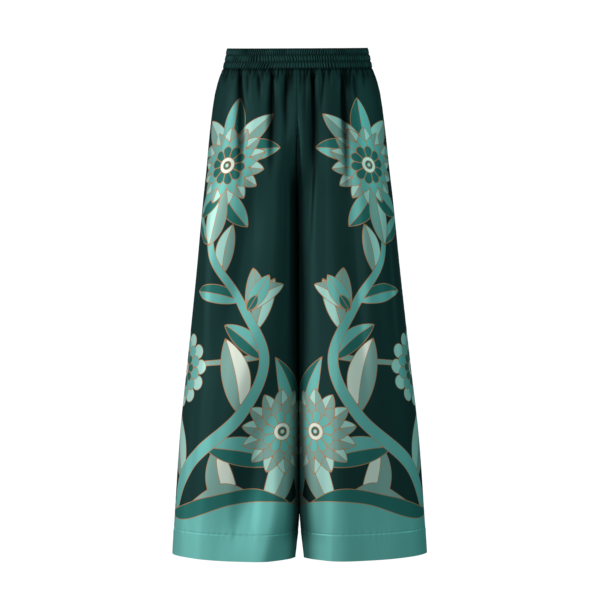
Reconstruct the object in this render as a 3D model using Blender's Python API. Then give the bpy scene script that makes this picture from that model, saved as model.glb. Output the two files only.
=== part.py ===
import math
from collections import namedtuple

import bmesh
import bpy
import numpy as np

# Palazzo pants: wide legs gathered onto an elastic waistband, filled out and hollow, with no wearer.
# Metres, +Z up. The front faces -Y and the wearer's left leg is at +X.
# The origin is the centre of the waist, half-way up the waistband at the side seams.

# Lengths, measured down from the origin.
BAND_TOP = 0.0205
BAND_SEAM = -0.0205
TURN_START = -0.080
RISE_START = -0.130
CROTCH = -0.285
HEM_TOP = -0.975
HEM = -1.029

# Cloth.
CLOTH = 0.0015
BAND_WALL = 0.0030
SEAM_GAP = 0.0003
HEM_LAYER_GAP = 0.0005
HEM_WALL = 0.0012

# The wall's thickness runs level at the waist seam and at the hem, and squares up to the cloth
# over these heights.
LEVEL_BELOW_BAND = 0.040
LEVEL_ABOVE_HEM = 0.100

# The waist lies in a plane that dips to the front: height change for each metre of depth.
FRONT_DIP = 0.09
BACK_LIFT = 0.05
DIP_ENDS = -0.200

# The hem lifts towards its corners, away from its lowest line.
HEM_LOW_X = 0.105
HEM_LIFT = 0.385
HEM_LIFT_STARTS = -0.800

# Each leg's section turns outwards-backwards as it goes down, and both sections are slightly square,
# more so inside the legs at the crotch. A higher power keeps the valley between the legs narrower
# where it starts.
HEM_TURN = 0.12
ROUNDNESS = 2.3
INSIDE_ROUNDNESS = 3.4
VALLEY_POWER = 4

Section = namedtuple("Section", "z half_width front back")
SECTIONS = [
    Section(0.0205, 0.1457, 0.094, 0.094),
    Section(-0.0205, 0.1543, 0.097, 0.098),
    Section(-0.0450, 0.1630, 0.103, 0.105),
    Section(-0.0780, 0.1712, 0.108, 0.112),
    Section(-0.1480, 0.1805, 0.114, 0.121),
    Section(-0.2310, 0.1885, 0.119, 0.127),
    Section(-0.2930, 0.1955, 0.115, 0.121),
    Section(-0.4570, 0.2115, 0.108, 0.112),
    Section(-0.6220, 0.2290, 0.102, 0.106),
    Section(-0.7870, 0.2470, 0.097, 0.100),
    Section(-0.9510, 0.2580, 0.094, 0.096),
    Section(-1.0290, 0.2625, 0.093, 0.094),
]

LegGap = namedtuple("LegGap", "z half_gap")
LEG_GAPS = [
    LegGap(CROTCH, 0.0),
    LegGap(-0.930, 0.0),
    LegGap(HEM, 0.0090),
]

# Folds hang from the gathers and lie along the legs. x is level across the garment, + to the
# wearer's left, at the fold's top and bottom; reach is half the trough's width, and a ridge has a
# negative depth.
Fold = namedtuple("Fold", "face x_top x_bottom top bottom reach depth")
FOLDS = [
    Fold("front", -0.120, -0.124, -0.021, -0.300, 0.011, 0.0055),
    Fold("front", -0.080, -0.079, -0.021, -0.130, 0.009, 0.0040),
    Fold("front", -0.052, -0.055, -0.021, -0.260, 0.010, 0.0060),
    Fold("front", -0.024, -0.020, -0.021, -0.205, 0.009, 0.0045),
    Fold("front", 0.031, 0.029, -0.021, -0.330, 0.010, 0.0060),
    Fold("front", 0.053, 0.051, -0.021, -0.140, 0.009, 0.0040),
    Fold("front", 0.094, 0.098, -0.021, -0.400, 0.011, 0.0060),
    Fold("front", 0.116, 0.120, -0.021, -0.120, 0.009, 0.0040),
    Fold("front", -0.147, -0.155, -0.200, -0.700, 0.018, 0.0045),
    Fold("front", -0.050, -0.108, -0.300, -1.500, 0.022, -0.0070),
    Fold("front", -0.178, -0.190, -0.640, -1.150, 0.024, 0.0050),
    Fold("front", 0.040, 0.045, -0.300, -1.500, 0.018, -0.0060),
    Fold("front", 0.118, 0.140, -0.300, -1.000, 0.018, 0.0050),
    Fold("front", 0.160, 0.205, -0.420, -1.150, 0.026, 0.0060),
    Fold("back", -0.128, -0.150, -0.021, -0.330, 0.011, 0.0055),
    Fold("back", -0.086, -0.092, -0.021, -0.180, 0.010, 0.0055),
    Fold("back", -0.046, -0.054, -0.021, -0.400, 0.011, 0.0060),
    Fold("back", 0.026, 0.030, -0.021, -0.240, 0.010, 0.0055),
    Fold("back", 0.066, 0.078, -0.021, -0.360, 0.011, 0.0060),
    Fold("back", 0.108, 0.122, -0.021, -0.160, 0.010, 0.0050),
    Fold("back", -0.160, -0.195, -0.340, -1.150, 0.028, 0.0070),
    Fold("back", -0.078, -0.100, -0.300, -1.150, 0.024, 0.0080),
    Fold("back", 0.090, 0.108, -0.320, -1.150, 0.026, 0.0080),
    Fold("back", 0.158, 0.200, -0.450, -1.150, 0.028, 0.0070),
]
# A fold swells over this height below its top and fades over this share of its length at the
# bottom; a seam at a panel's inner edge holds the cloth flat over this width.
FOLD_SWELL = 0.030
FOLD_FADE = 0.6
SEAM_HOLD = 0.012

# Mesh density: columns across one panel, rows in each stretch, and the fine points along a ring
# that its columns are read from.
PANEL_COLUMNS = 20
TORSO_ROWS = 5
RISE_ROWS = 6
LEG_ROWS = 12
BAND_COLUMNS = 11
BAND_ROWS = 3
ALONG = np.linspace(0, 1, 400)

GREEN = (0.006, 0.022, 0.020)
TEAL = (0.16, 0.42, 0.38)
SATIN_ROUGHNESS = 0.38
CREASE_ANGLE = math.radians(50)


def smooth_column(rows, column):
    """A smooth curve through one column of a table, by height, that never swings past its rows."""
    heights = np.array([row.z for row in rows])[::-1]
    values = np.array([getattr(row, column) for row in rows])[::-1]
    steps = np.diff(values) / np.diff(heights)
    below, above = steps[:-1], steps[1:]
    same_way = below * above > 0
    total = np.where(same_way, below + above, 1.0)
    middle = np.where(same_way, 2 * below * above / total, 0.0)
    slopes = np.concatenate([steps[:1], middle, steps[-1:]])

    def value(z):
        i = np.clip(np.searchsorted(heights, z) - 1, 0, len(heights) - 2)
        span = heights[i + 1] - heights[i]
        t = np.clip((z - heights[i]) / span, 0.0, 1.0)
        return (
            values[i] * (2 * t**3 - 3 * t**2 + 1)
            + slopes[i] * span * (t**3 - 2 * t**2 + t)
            + values[i + 1] * (3 * t**2 - 2 * t**3)
            + slopes[i + 1] * span * (t**3 - t**2)
        )

    return value


half_width = smooth_column(SECTIONS, "half_width")
front_depth = smooth_column(SECTIONS, "front")
back_depth = smooth_column(SECTIONS, "back")
half_gap = smooth_column(LEG_GAPS, "half_gap")


def smooth_step(t):
    t = np.clip(t, 0.0, 1.0)
    return t * t * (3 - 2 * t)


def rise_shares(z):
    """0 on the torso and 1 from the crotch down: how far the centre seam and the panel have turned.

    The centre seam runs in along a quarter of an ellipse; the rest of the panel turns gently.
    """
    t = np.clip((RISE_START - z) / (RISE_START - CROTCH), 0.0, 1.0)
    return 1 - math.sqrt(1 - t * t), smooth_step((TURN_START - z) / (TURN_START - CROTCH))


def oval(t, roundness=ROUNDNESS):
    """Depth of a slightly square oval at t of its half width, as a share of its full depth."""
    return np.clip(1 - np.abs(t) ** roundness, 0.0, 1.0) ** (1 / roundness)


def ring_outline(z, face, seam, turned):
    """x and y along one panel at a height, from its inner edge to the side seam."""
    outer = half_width(z)
    inner = half_gap(z) if z < CROTCH else 0.0
    centre = (outer + inner) / 2
    reach = (outer - inner) / 2
    x = centre - reach * np.cos(math.pi * ALONG)
    to_centre = np.clip((centre - x) / reach, 0.0, 1.0)
    torso = oval(x / outer) - seam * to_centre**2
    down = smooth_step((CROTCH - z) / (CROTCH - HEM))
    inside = oval((x - centre) / reach, INSIDE_ROUNDNESS * (1 - down) + ROUNDNESS * down)
    uncut = (1 - seam) ** VALLEY_POWER
    valley = (inside**VALLEY_POWER * (1 - uncut) + uncut) ** (1 / VALLEY_POWER)
    leg = np.where(x < centre, valley, oval((x - centre) / reach))
    depth = -front_depth(z) if face == "front" else back_depth(z)
    turned_by = HEM_TURN * down * (x - centre)
    return x, depth * ((1 - turned) * torso + turned * leg) + turned_by


def arc_lengths(x, y):
    return np.concatenate([[0], np.cumsum(np.hypot(np.diff(x), np.diff(y)))])


def fold_offset(side, face, z, place, arc):
    """How far the folds move each point of a ring out (+) or in (-)."""
    offset = np.zeros(len(arc))
    for fold in FOLDS:
        if fold.face != face or fold.x_top * side < 0 or not fold.bottom < z < fold.top:
            continue
        down = (fold.top - z) / (fold.top - fold.bottom)
        fold_x = abs(fold.x_top + (fold.x_bottom - fold.x_top) * down)
        q = (arc - place(fold_x)) / fold.reach
        trough = (1 - q * q) * np.exp(-q * q / 2)
        strength = smooth_step((fold.top - z) / FOLD_SWELL) * smooth_step((1 - down) / FOLD_FADE)
        offset -= fold.depth * strength * trough
    return offset


def edge_hold(arc):
    """0 on a panel's inner edge, where its seam holds the cloth, and 1 away from it."""
    return smooth_step((arc - arc[0]) / SEAM_HOLD)


def panel_ring(side, face, z, columns):
    """One row of a panel from its inner edge to the side seam, with the folds in it.

    Its columns are spaced evenly along a ring whose centre seam has turned only as far as the
    panel, so that they run straight down past the crotch.
    """
    seam, turned = rise_shares(z)
    even_arc = arc_lengths(*ring_outline(z, face, turned, turned))
    stations = np.interp(np.linspace(0, even_arc[-1], columns + 1), even_arc, ALONG)
    x, y = ring_outline(z, face, seam, turned)
    arc = np.interp(stations, ALONG, arc_lengths(x, y))
    ring_x = np.interp(stations, ALONG, x)
    ring_y = np.interp(stations, ALONG, y)
    offset = fold_offset(side, face, z, lambda at: np.interp(at, ring_x, arc), arc) * edge_hold(arc)
    tangent_x = np.gradient(ring_x, arc)
    tangent_y = np.gradient(ring_y, arc)
    outward = 1 if face == "front" else -1
    length = np.hypot(tangent_x, tangent_y)
    moved_x = ring_x + outward * offset * tangent_y / length
    moved_y = ring_y - outward * offset * tangent_x / length
    return np.column_stack([np.maximum(moved_x, x[0]), moved_y, np.full(columns + 1, z)])


def settle(points):
    """Dip the waist to the front and lift the hem's corners."""
    x, y, z = points[..., 0], points[..., 1], points[..., 2]
    slope = np.where(y < 0, FRONT_DIP, BACK_LIFT)
    at_waist = smooth_step((z - DIP_ENDS) / (BAND_SEAM - DIP_ENDS))
    at_hem = np.clip((HEM_LIFT_STARTS - z) / (HEM_LIFT_STARTS - HEM), 0.0, 1.0)
    lift = HEM_LIFT * (np.abs(x) - HEM_LOW_X) ** 2
    settled = points.copy()
    settled[..., 2] = z + slope * y * at_waist + lift * at_hem
    return settled


def panel_heights():
    torso = np.linspace(BAND_SEAM - SEAM_GAP, RISE_START, TORSO_ROWS)
    turn = np.linspace(0, math.pi / 2, RISE_ROWS + 1)[1:]
    rise = RISE_START - (RISE_START - CROTCH) * np.sin(turn)
    leg = np.linspace(CROTCH, HEM_TOP, LEG_ROWS + 1)[1:]
    return np.concatenate([torso, rise, leg, [HEM]])


def outward_normals(grid, heights):
    """Normals of a half garment's grid, whose columns run front centre, side seam, back centre."""
    across = np.gradient(grid, axis=1)
    down = np.gradient(grid, axis=0)
    normals = np.cross(down, across)
    level = np.minimum(
        smooth_step((BAND_SEAM - heights) / LEVEL_BELOW_BAND),
        smooth_step((heights - HEM) / LEVEL_ABOVE_HEM),
    )
    normals[..., 2] *= level[:, None]
    normals /= np.linalg.norm(normals, axis=2)[..., None]
    legs = heights <= CROTCH
    inseam = normals[legs, 0] + normals[legs, -1]
    inseam /= np.linalg.norm(inseam, axis=1)[:, None]
    normals[legs, 0] = inseam
    normals[legs, -1] = inseam
    for edge in (0, -1):
        normals[:, edge, 0] = np.minimum(normals[:, edge, 0], 0)
        normals[:, edge] /= np.linalg.norm(normals[:, edge], axis=1)[:, None]
    return normals


def half_garment(side):
    """Outer points and outward normals of one front and back, on the +X side."""
    heights = panel_heights()
    rows = []
    for z in heights:
        front = panel_ring(side, "front", z, PANEL_COLUMNS)
        back = panel_ring(side, "back", z, PANEL_COLUMNS)
        seam = (front[-1] + back[-1]) / 2
        rows.append(np.vstack([front[:-1], seam, back[-2::-1]]))
    grid = settle(np.array(rows))
    return grid, outward_normals(grid, heights), heights


def material(name, colour, roughness):
    made = bpy.data.materials.new(name)
    made.use_nodes = True
    shader = made.node_tree.nodes["Principled BSDF"]
    shader.inputs["Base Color"].default_value = (*colour, 1)
    shader.inputs["Roughness"].default_value = roughness
    shader.inputs["Metallic"].default_value = 0
    made.diffuse_color = (*colour, 1)
    return made


def add_wall(name, outer, inner, closed, colour):
    """A closed wall between two grids of points; closed joins the last column to the first."""
    rows, columns = outer.shape[:2]
    mesh = bpy.data.meshes.new(name)
    shape = bmesh.new()
    skins = [[[shape.verts.new(point) for point in row] for row in grid] for grid in (outer, inner)]
    steps = columns if closed else columns - 1

    def quad(a, b, c, d):
        shape.faces.new((a, b, c))
        shape.faces.new((a, c, d))

    for skin in skins:
        for i in range(rows - 1):
            for j in range(steps):
                k = (j + 1) % columns
                quad(skin[i][j], skin[i][k], skin[i + 1][k], skin[i + 1][j])
    out, back = skins
    for i in (0, rows - 1):
        for j in range(steps):
            k = (j + 1) % columns
            quad(out[i][j], out[i][k], back[i][k], back[i][j])
    if not closed:
        for j in (0, columns - 1):
            for i in range(rows - 1):
                quad(out[i][j], out[i + 1][j], back[i + 1][j], back[i][j])
    bmesh.ops.recalc_face_normals(shape, faces=shape.faces[:])
    shape.to_mesh(mesh)
    shape.free()
    mesh.materials.append(material(name, colour, SATIN_ROUGHNESS))
    mesh.shade_smooth()
    mesh.set_sharp_from_angle(angle=CREASE_ANGLE)
    piece = bpy.data.objects.new(name, mesh)
    bpy.context.collection.objects.link(piece)
    return piece


def mirrored(points, side):
    return points * np.array([side, 1, 1])


def add_panels(side, label, grid, normals):
    """Front and back of one leg; each stands half a seam gap off its seams."""
    inner = grid - CLOTH * normals
    half = SEAM_GAP / 2
    for face, columns, shift_y in (
        ("front", slice(0, PANEL_COLUMNS + 1), -half),
        ("back", slice(PANEL_COLUMNS, 2 * PANEL_COLUMNS + 1), half),
    ):
        shift = np.array([half, shift_y, 0])
        outer_wall = mirrored(grid[:, columns] + shift, side)
        inner_wall = mirrored(inner[:, columns] + shift, side)
        add_wall(f"{face}_{label}", outer_wall, inner_wall, False, GREEN)


def add_hem(side, label, grid, normals, heights):
    """The turned-up layer inside a leg, on the panel's own points moved in."""
    rows = heights <= HEM_TOP + 1e-6
    shift = np.array([SEAM_GAP / 2, 0, 0])
    ring = grid[rows, :-1] + shift
    inward = normals[rows, :-1]
    outer = ring - (CLOTH + HEM_LAYER_GAP) * inward
    inner = outer - HEM_WALL * inward
    add_wall(f"hem_{label}", mirrored(outer, side), mirrored(inner, side), True, TEAL)


def add_waistband():
    """The casing over the elastic, one ring round the waist."""
    rows = []
    for z in np.linspace(BAND_TOP, BAND_SEAM, BAND_ROWS + 1):
        front = panel_ring(0, "front", z, BAND_COLUMNS)
        back = panel_ring(0, "back", z, BAND_COLUMNS)
        half = np.vstack([front[:-1], back[::-1]])
        other = half[-2:0:-1] * np.array([-1, 1, 1])
        rows.append(np.vstack([half, other]))
    ring = settle(np.array(rows))
    before = np.roll(ring, 1, axis=1)
    after = np.roll(ring, -1, axis=1)
    across = after - before
    outward = np.stack([across[..., 1], -across[..., 0], np.zeros(across.shape[:2])], axis=-1)
    outward /= np.linalg.norm(outward, axis=2)[..., None]
    add_wall("waistband", ring, ring - BAND_WALL * outward, True, GREEN)


def main():
    for item in list(bpy.data.objects):
        bpy.data.objects.remove(item, do_unlink=True)
    add_waistband()
    for side, label in ((1, "left"), (-1, "right")):
        grid, normals, heights = half_garment(side)
        add_panels(side, label, grid, normals)
        add_hem(side, label, grid, normals, heights)


main()
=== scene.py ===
# Palazzo pants in printed satin, gathered onto an elastic waistband, filled out and hollow.
import math

import bpy
import numpy as np
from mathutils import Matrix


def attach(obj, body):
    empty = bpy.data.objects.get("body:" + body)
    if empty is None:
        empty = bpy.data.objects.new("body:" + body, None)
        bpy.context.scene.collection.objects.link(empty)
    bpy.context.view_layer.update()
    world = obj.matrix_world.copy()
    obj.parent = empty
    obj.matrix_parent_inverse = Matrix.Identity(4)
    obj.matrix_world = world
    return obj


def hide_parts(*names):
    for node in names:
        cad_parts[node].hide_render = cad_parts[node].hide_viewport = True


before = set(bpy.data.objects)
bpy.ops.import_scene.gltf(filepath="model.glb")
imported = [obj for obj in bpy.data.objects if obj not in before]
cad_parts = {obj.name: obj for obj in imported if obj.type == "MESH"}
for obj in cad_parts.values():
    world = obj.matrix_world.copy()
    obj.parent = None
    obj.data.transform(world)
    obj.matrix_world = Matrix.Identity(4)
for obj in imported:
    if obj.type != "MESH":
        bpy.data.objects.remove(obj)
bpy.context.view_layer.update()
print("frame loaded")


# the cut in metres; +X is the wearer's left and the front faces -Y
cut = {
    "bandTop": 0.0205, "bandSeam": -0.0205,
    "turnStart": -0.080, "riseStart": -0.130, "crotch": -0.285,
    "hemTop": -0.975, "hem": -1.029,
    "seamGap": 0.0003,
    "frontDip": 0.09, "backLift": 0.05, "dipEnds": -0.200,
    "hemLowX": 0.105, "hemLift": 0.385, "hemLiftStarts": -0.800,
    "hemTurn": 0.12, "roundness": 2.3, "insideRoundness": 3.4, "valleyPower": 4,
    "seamHold": 0.010,
}

# height, half width, depth in front, depth behind
sections = [
    (0.0205, 0.1457, 0.094, 0.094),
    (-0.0205, 0.1543, 0.097, 0.098),
    (-0.0450, 0.1630, 0.103, 0.105),
    (-0.0780, 0.1712, 0.108, 0.112),
    (-0.1480, 0.1805, 0.114, 0.121),
    (-0.2310, 0.1885, 0.119, 0.127),
    (-0.2930, 0.1955, 0.115, 0.121),
    (-0.4570, 0.2115, 0.108, 0.112),
    (-0.6220, 0.2290, 0.102, 0.106),
    (-0.7870, 0.2470, 0.097, 0.100),
    (-0.9510, 0.2580, 0.094, 0.096),
    (-1.0290, 0.2625, 0.093, 0.094),
]
legGaps = [(cut["crotch"], 0.0), (-0.930, 0.0), (cut["hem"], 0.0090)]  # height, half gap

# the main folds in millimetres: x at the top, half-way and at the bottom, height of top
# and bottom, two half widths, depth (less than zero for a ridge) and the share of the length over which
# they fade; the half widths of those from the band are at the top and the bottom, of the rest to -X and +X
folds = {
    "front": [
        (-146, -150, -152, -21, -62, 4.5, 6.6, 2.7, 0.8),
        (-119.5, -117, -124, -21, -330, 5.7, 11, 7.2, 0.7),
        (-102, -101, -99, -21, -98, 3.9, 5.9, 3.7, 0.8),
        (-81, -77, -76, -21, -125, 4.7, 7, 4.2, 0.8),
        (-52.5, -53, -58, -21, -300, 4.5, 10, 8.1, 0.8),
        (-39.5, -39, -38, -21, -56, 3.3, 5.3, 2.7, 0.8),
        (-23.5, -24, -20, -21, -205, 5.1, 8.5, 6.1, 0.8),
        (16, 15, 16.5, -21, -210, 3.9, 6.6, 2.4, 0.9),
        (30, 32.5, 24.5, -21, -360, 4.5, 10, 7.8, 0.7),
        (53, 50, 48, -21, -135, 3.9, 6, 3.8, 0.8),
        (92, 97, 103, -21, -330, 5.7, 11, 8.1, 0.7),
        (114.5, 116.5, 119, -21, -120, 4.5, 6.5, 4.2, 0.8),
        (134, 136, 137, -21, -70, 3.9, 5.9, 2.9, 0.8),
        (-85, -113, -166, -140, -680, 24, 24, 15, 0.4),
        (-178, -184, -196, -160, -660, 12, 20, -7.5, 0.5),
        (-88, -90.5, -92, -200, -420, 7, 4.4, 1.4, 0.6),
        (-37, -37, -44, -100, -640, 20, 8, -8, 0.5),
        (-20, -20, -21, -120, -640, 8, 4, -3.4, 0.5),
        (-80, -138, -205, -480, -980, 24, 16, -4.5, 0.5),
        (-36, -84, -144, -580, -1050, 26, 24, 16, 0.35),
        (-24, -65, -137, -800, -1200, 23, 18, -14, 0.3),
        (10, 10, 11, -100, -560, 3.6, 7.5, -5.6, 0.5),
        (23.5, 24, 23, -120, -420, 8.5, 4.4, 5, 0.5),
        (53, 54.6, 57, -110, -560, 9, 3.6, 2.2, 0.5),
        (64, 80, 52, -240, -1300, 14, 40, -9, 0.3),
        (98, 120, 142, -140, -820, 19, 11, 8.5, 0.5),
        (148, 160, 168, -600, -1300, 48, 36, 9, 0.3),
        (176, 191, 208, -220, -720, 12, 5, 2.8, 0.5),
    ],
    "back": [
        (-143, -145, -147, -21, -75, 4.5, 6.6, 2.9, 0.8),
        (-127, -134, -148, -21, -350, 5.4, 11, 7.5, 0.7),
        (-105, -103, -102, -21, -110, 4.2, 6.2, 3.8, 0.8),
        (-86, -88, -92, -21, -220, 4.5, 9, 6.9, 0.7),
        (-66, -65, -64, -21, -80, 3.5, 5.5, 3.2, 0.8),
        (-46, -48, -54, -21, -430, 5.1, 12, 7.8, 0.6),
        (-21, -22, -23, -21, -110, 3.9, 6, 3.8, 0.8),
        (9, 10, 11, -21, -85, 3.5, 5.5, 2.9, 0.8),
        (26, 28, 31, -21, -290, 4.7, 10, 7.2, 0.7),
        (45, 46, 47, -21, -120, 4.2, 6.2, 3.8, 0.8),
        (66, 70, 79, -21, -400, 5.4, 12, 7.8, 0.6),
        (89, 90, 92, -21, -95, 4.2, 6.2, 3.7, 0.8),
        (108, 113, 122, -21, -200, 4.5, 9, 6.8, 0.7),
        (133, 135, 138, -21, -85, 4.5, 6.5, 3.7, 0.8),
        (-160, -175, -198, -330, -1200, 18, 26, 6.2, 0.4),
        (-116, -120, -130, -420, -900, 10, 15, 2.6, 0.7),
        (-70, -88, -100, -300, -1200, 15, 23, 7.2, 0.4),
        (-34, -38, -42, -640, -1200, 12, 16, 3.4, 0.5),
        (52, 48, 44, -480, -1200, 12, 18, 4.4, 0.5),
        (86, 98, 108, -310, -1200, 15, 24, 7.4, 0.4),
        (128, 140, 146, -380, -860, 11, 15, 2.8, 0.7),
        (160, 180, 202, -430, -1200, 18, 26, 6.2, 0.4),
    ],
}
for rows in folds.values():  # from here on they are in metres
    rows[:] = [(*(size / 1000 for size in row[:-1]), row[-1]) for row in rows]
foldGrowth = {"fromBand": 0.002, "atBand": 0.45, "fullBelow": 0.018, "widensOver": 1 / 3, "risesOver": 0.45}
ringShares = np.linspace(0, 1, 400)  # fine points along a ring that the columns are read from


def smoothColumn(rows, column):
    # a smooth curve through one column of a table, by height, that never swings past its rows
    heights = np.array([row[0] for row in rows])[::-1]
    values = np.array([row[column] for row in rows])[::-1]
    steps = np.diff(values) / np.diff(heights)
    below, above = steps[:-1], steps[1:]
    sameWay = below * above > 0
    total = np.where(sameWay, below + above, 1.0)
    slopes = np.concatenate([steps[:1], np.where(sameWay, 2 * below * above / total, 0.0), steps[-1:]])

    def value(z):
        i = np.clip(np.searchsorted(heights, z) - 1, 0, len(heights) - 2)
        span = heights[i + 1] - heights[i]
        t = np.clip((z - heights[i]) / span, 0.0, 1.0)
        return (
            values[i] * (2 * t**3 - 3 * t**2 + 1)
            + slopes[i] * span * (t**3 - 2 * t**2 + t)
            + values[i + 1] * (3 * t**2 - 2 * t**3)
            + slopes[i + 1] * span * (t**3 - t**2)
        )

    return value


halfWidth = smoothColumn(sections, 1)
frontDepth = smoothColumn(sections, 2)
backDepth = smoothColumn(sections, 3)
halfGap = smoothColumn(legGaps, 1)


def smoothStep(t):
    t = np.clip(t, 0.0, 1.0)
    return t * t * (3 - 2 * t)


def riseShares(z):
    # how far the centre seam and the panel have turned into the leg, from 0 to 1
    t = np.clip((cut["riseStart"] - z) / (cut["riseStart"] - cut["crotch"]), 0.0, 1.0)
    turned = smoothStep((cut["turnStart"] - z) / (cut["turnStart"] - cut["crotch"]))
    return 1 - math.sqrt(1 - t * t), turned


def oval(t, roundness=cut["roundness"]):
    return np.clip(1 - np.abs(t) ** roundness, 0.0, 1.0) ** (1 / roundness)


def ringOutline(z, face, seam, turned):
    # x and y along one panel at a height, from its inner edge to the side seam
    outer = halfWidth(z)
    inner = halfGap(z) if z < cut["crotch"] else 0.0
    centre, reach = (outer + inner) / 2, (outer - inner) / 2
    x = centre - reach * np.cos(math.pi * ringShares)
    toCentre = np.clip((centre - x) / reach, 0.0, 1.0)
    torso = oval(x / outer) - seam * toCentre**2
    down = smoothStep((cut["crotch"] - z) / (cut["crotch"] - cut["hem"]))
    inside = oval((x - centre) / reach, cut["insideRoundness"] * (1 - down) + cut["roundness"] * down)
    power = cut["valleyPower"]
    uncut = (1 - seam) ** power
    valley = (inside**power * (1 - uncut) + uncut) ** (1 / power)
    leg = np.where(x < centre, valley, oval((x - centre) / reach))
    depth = -frontDepth(z) if face == "front" else backDepth(z)
    turn = cut["hemTurn"] * down
    return x, depth * ((1 - turned) * torso + turned * leg) + turn * (x - centre)


def arcLengths(x, y):
    return np.concatenate([[0], np.cumsum(np.hypot(np.diff(x), np.diff(y)))])


def bulge(q):
    return np.exp(-q * q / 2)


def trough(q):
    # narrow at the bottom, with round ridges beside it
    return (1 + 1.7 * q * q) ** -1.5 - 0.10 * np.exp(-((np.abs(q) - 3) ** 2) / 2)


def foldOffset(side, face, z, place, arc):
    # how far the folds move the cloth out, and how deep the narrow ones are
    offset, pit = np.zeros(len(arc)), np.zeros(len(arc))
    for xTop, xMiddle, xBottom, top, bottom, firstReach, lastReach, depth, fade in folds[face]:
        if xTop * side < 0 or not bottom < z < top:
            continue
        down = (top - z) / (top - bottom)
        bend = 4 * xMiddle - 2 * (xTop + xBottom)
        x = xTop + (xBottom - xTop) * down + bend * down * (1 - down)
        fromFold = arc - place(abs(x))
        strength = depth * smoothStep((1 - down) / fade)
        if top > cut["bandSeam"] - foldGrowth["fromBand"]:
            reach = firstReach + (lastReach - firstReach) * smoothStep(down / foldGrowth["widensOver"])
            first = foldGrowth["atBand"]
            strength *= first + (1 - first) * smoothStep((top - z) / foldGrowth["fullBelow"])
            move = strength * trough(fromFold / reach)
            pit += move
        else:
            reach = np.where(fromFold * side < 0, firstReach, lastReach)
            move = strength * smoothStep(down / foldGrowth["risesOver"]) * bulge(fromFold / reach)
        offset -= move
    return offset, pit


def panelRing(side, face, z, shares):
    # one row of a panel with the large folds in it, its distances from the side seam, and the pits
    seam, turned = riseShares(z)
    evenArc = arcLengths(*ringOutline(z, face, turned, turned))
    stations = np.interp(shares * evenArc[-1], evenArc, ringShares)
    x, y = ringOutline(z, face, seam, turned)
    arc = np.interp(stations, ringShares, arcLengths(x, y))
    ringX = np.interp(stations, ringShares, x)
    ringY = np.interp(stations, ringShares, y)
    hold = smoothStep((arc - arc[0]) / cut["seamHold"])
    offset, pit = foldOffset(side, face, z, lambda at: np.interp(at, ringX, arc), arc)
    offset = offset * hold
    tangentX, tangentY = np.gradient(ringX, arc), np.gradient(ringY, arc)
    outward = offset * (1 if face == "front" else -1) / np.hypot(tangentX, tangentY)
    movedX = np.maximum(ringX + outward * tangentY, x[0])
    points = np.column_stack([movedX, ringY - outward * tangentX, np.full(len(shares), z)])
    return points, arc[-1] - arc, pit * hold


def settle(points):
    # the waist dips to the front and the hem's corners lift
    x, y, z = points[..., 0], points[..., 1], points[..., 2]
    slope = np.where(y < 0, cut["frontDip"], cut["backLift"])
    atWaist = smoothStep((z - cut["dipEnds"]) / (cut["bandSeam"] - cut["dipEnds"]))
    atHem = np.clip((cut["hemLiftStarts"] - z) / (cut["hemLiftStarts"] - cut["hem"]), 0.0, 1.0)
    settled = points.copy()
    settled[..., 2] = z + slope * y * atWaist + cut["hemLift"] * (np.abs(x) - cut["hemLowX"]) ** 2 * atHem
    return settled


def deg(angle):
    return math.radians(angle)


def addNode(tree, kind, inputs=None, **values):
    # inputs are values or the outputs of other nodes, by the name or the number of the input
    node = tree.nodes.new(kind)
    for name, value in values.items():
        setattr(node, name, value)
    for name, value in (inputs or {}).items():
        named = [s for s in node.inputs if s.name == name and s.enabled]
        socket = named[0] if named else node.inputs[name]
        if isinstance(value, bpy.types.NodeSocket):
            tree.links.new(value, socket)
        else:
            socket.default_value = value
    return node


def liveOutput(node):
    return next(s for s in node.outputs if s.enabled)


def maths(tree, operation, *inputs):
    return addNode(tree, "ShaderNodeMath", dict(enumerate(inputs)), operation=operation).outputs[0]


studio = {
    "camera": (0.003, -6.0, -0.4986), "lens": 174.8, "sensor": 36, "roll": deg(0.25), "aim": (0, 0, -0.5),
    "skyLight": 0.13, "skyTint": (0.6, 1.0, 1.0, 1.0), "seenSky": 1.05,
    "key": {"place": (-2.9, -1.3, 0.1), "size": (1.1, 1.8), "power": 73},
    "front": {"place": (-0.9, -3.8, 0.4), "size": (1.6, 1.8), "power": 57, "tint": (0.92, 1, 1)},
    "fill": {"place": (2.5, -0.9, 0.6), "size": (0.8, 1.2), "power": 24, "tint": (0.55, 1, 1)},
    "back": {"place": (0.6, 3.4, 0.6), "size": (2.6, 2.0), "power": 110, "gleam": False},
}


def areaLight(name, place, size, power, tint=(1, 1, 1), gleam=True):
    data = bpy.data.lights.new(name, "AREA")
    data.shape = "RECTANGLE"
    data.size, data.size_y = size
    data.energy = power
    data.color = tint
    light = bpy.data.objects.new(name, data)
    light.location = place
    light.visible_glossy = gleam
    aim = np.array(studio["aim"]) - np.array(place)
    flat = math.hypot(aim[0], aim[1])
    light.rotation_euler = (math.atan2(flat, -aim[2]), 0, math.atan2(aim[1], aim[0]) - math.pi / 2)
    bpy.context.collection.objects.link(light)


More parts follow.
